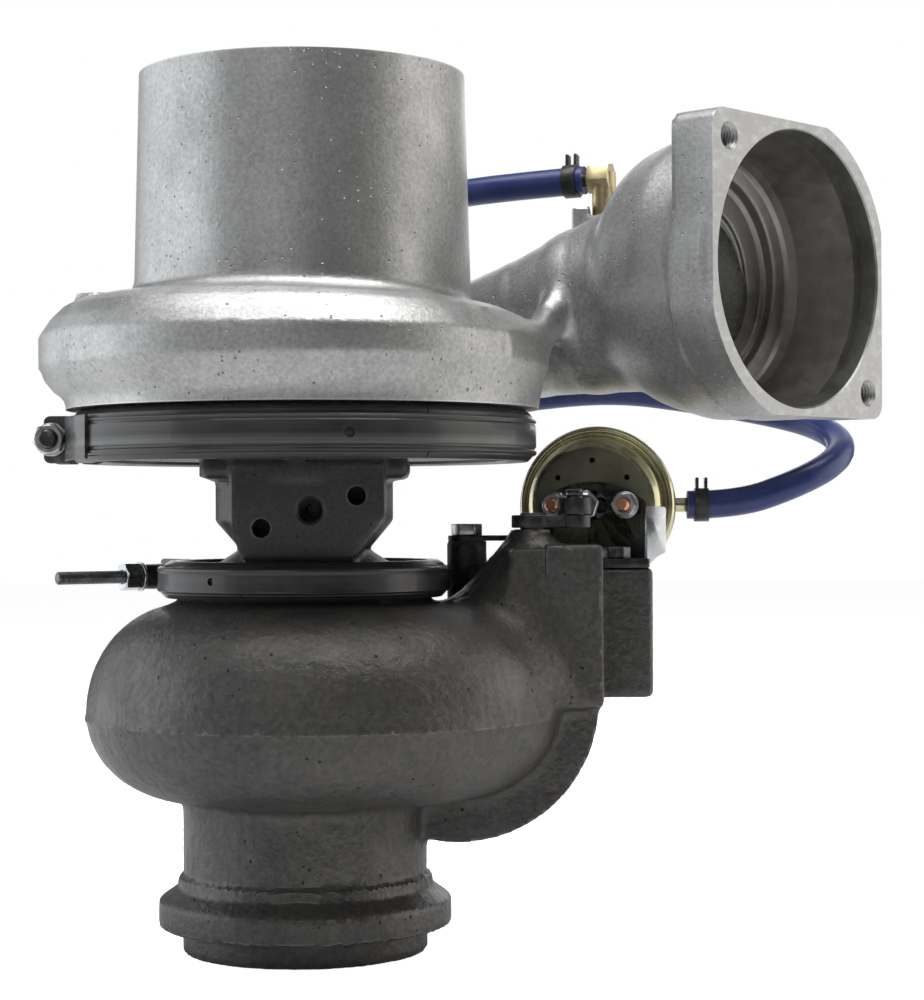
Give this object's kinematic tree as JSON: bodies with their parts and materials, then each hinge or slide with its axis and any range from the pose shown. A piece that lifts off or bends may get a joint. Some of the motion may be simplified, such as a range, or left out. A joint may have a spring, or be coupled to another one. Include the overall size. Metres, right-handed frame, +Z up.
{
  "type": "turbocharger",
  "caption": "Wastegated diesel turbocharger: aluminium compressor housing with square discharge flange, iron turbine housing, clamp bands and a diaphragm actuator fed by a blue hose.",
  "frame": {"origin": "centre of the turbine outlet end face, which the part stands on", "axes": "+Z up the rotor axis to the compressor inlet, +X towards the wastegate side, +Y towards the manifold side"},
  "size_m": [0.4071, 0.2873, 0.409],
  "materials": {
    "cast_aluminium": "sand cast, satin",
    "wheel_aluminium": "machined satin",
    "cast_iron": "dark rough cast",
    "bearing_iron": "dark satin cast",
    "band_steel": "dark satin coated steel",
    "zinc_steel": "zinc plated",
    "dark_steel": "oiled dark steel",
    "polished_steel": "ground steel",
    "heat_alloy": "investment cast nickel alloy",
    "bearing_bronze": "machined bronze",
    "yellow_zinc": "yellow chromate plated",
    "copper_stud": "copper plated",
    "black_steel": "black coated",
    "brass_fitting": "dull machined brass",
    "blue_hose": "smooth satin rubber",
    "seal_rubber": "fluoro rubber"
  },
  "bodies": {
    "housings": {"compressor_housing": "cast_aluminium", "compressor_backplate": "wheel_aluminium", "backplate_seal_ring": "seal_rubber", "compressor_band_strap": "band_steel", "compressor_band_retainers": "band_steel", "compressor_band_lugs": "band_steel", "compressor_band_bolt": "dark_steel", "compressor_band_nut": "zinc_steel", "compressor_piston_ring": "dark_steel", "thrust_bearing": "bearing_bronze", "bearing_retaining_rings": "dark_steel", "bearing_housing": "bearing_iron", "heat_shield": "heat_alloy", "turbine_piston_ring": "dark_steel", "turbine_housing": "cast_iron", "turbine_band_strap": "band_steel", "turbine_band_retainers": "band_steel", "turbine_band_lugs": "band_steel", "turbine_band_bolt": "dark_steel", "turbine_band_nut": "zinc_steel", "wastegate_bushing": "heat_alloy", "actuator_front_can": "yellow_zinc", "actuator_rear_can": "yellow_zinc", "actuator_diaphragm": "seal_rubber", "actuator_spring": "polished_steel", "actuator_studs": "copper_stud", "actuator_nuts": "zinc_steel", "actuator_bracket": "black_steel", "bracket_bolts": "dark_steel", "actuator_nipple": "yellow_zinc", "boost_hose": "blue_hose", "hose_clamps": "black_steel", "boost_fitting": "brass_fitting"},
    "rotor": {"turbine_wheel": "heat_alloy", "rotor_shaft": "polished_steel", "thrust_collar": "polished_steel", "oil_flinger": "polished_steel", "compressor_wheel": "wheel_aluminium", "compressor_wheel_nut": "dark_steel"},
    "turbine_bearing": {"turbine_journal_bearing": "bearing_bronze"},
    "compressor_bearing": {"compressor_journal_bearing": "bearing_bronze"},
    "wastegate": {"wastegate_lever": "black_steel", "lever_pin": "dark_steel", "lever_clip": "polished_steel", "wastegate_shaft": "heat_alloy", "wastegate_arm": "heat_alloy", "wastegate_valve": "heat_alloy", "valve_washer": "heat_alloy"},
    "rod": {"actuator_rod": "zinc_steel", "actuator_rod_end": "black_steel", "rod_locknut": "zinc_steel", "actuator_piston": "polished_steel"}
  },
  "joints": [
    {"name": "rotor_spin", "type": "hinge", "parent": "housings", "child": "rotor", "pos_m": [0, 0, 0.2387], "axis": [0, 0, -1], "continuous": true},
    {"name": "turbine_bearing_spin", "type": "hinge", "parent": "housings", "child": "turbine_bearing", "pos_m": [0, 0, 0.1935], "axis": [0, 0, -1], "continuous": true},
    {"name": "compressor_bearing_spin", "type": "hinge", "parent": "housings", "child": "compressor_bearing", "pos_m": [0, 0, 0.2137], "axis": [0, 0, -1], "continuous": true},
    {"name": "wastegate_swing", "type": "hinge", "parent": "housings", "child": "wastegate", "pos_m": [0.107, -0.003, 0.1967], "axis": [0, 0, -1], "range_deg": [0, 22]},
    {"name": "rod_slide", "type": "slide", "parent": "housings", "child": "rod", "axis": [-0.2246, -0.9745, 0], "range_m": [0, 0.00783], "deforming": ["actuator_spring", "actuator_diaphragm"]}
  ],
  "couplings": [
    {"joint": "turbine_bearing_spin", "follows": "rotor_spin", "ratio": 0.3},
    {"joint": "compressor_bearing_spin", "follows": "rotor_spin", "ratio": 0.3},
    {"joint": "rod_slide", "follows": "wastegate_swing", "m_per_rad": 0.019864}
  ]
}
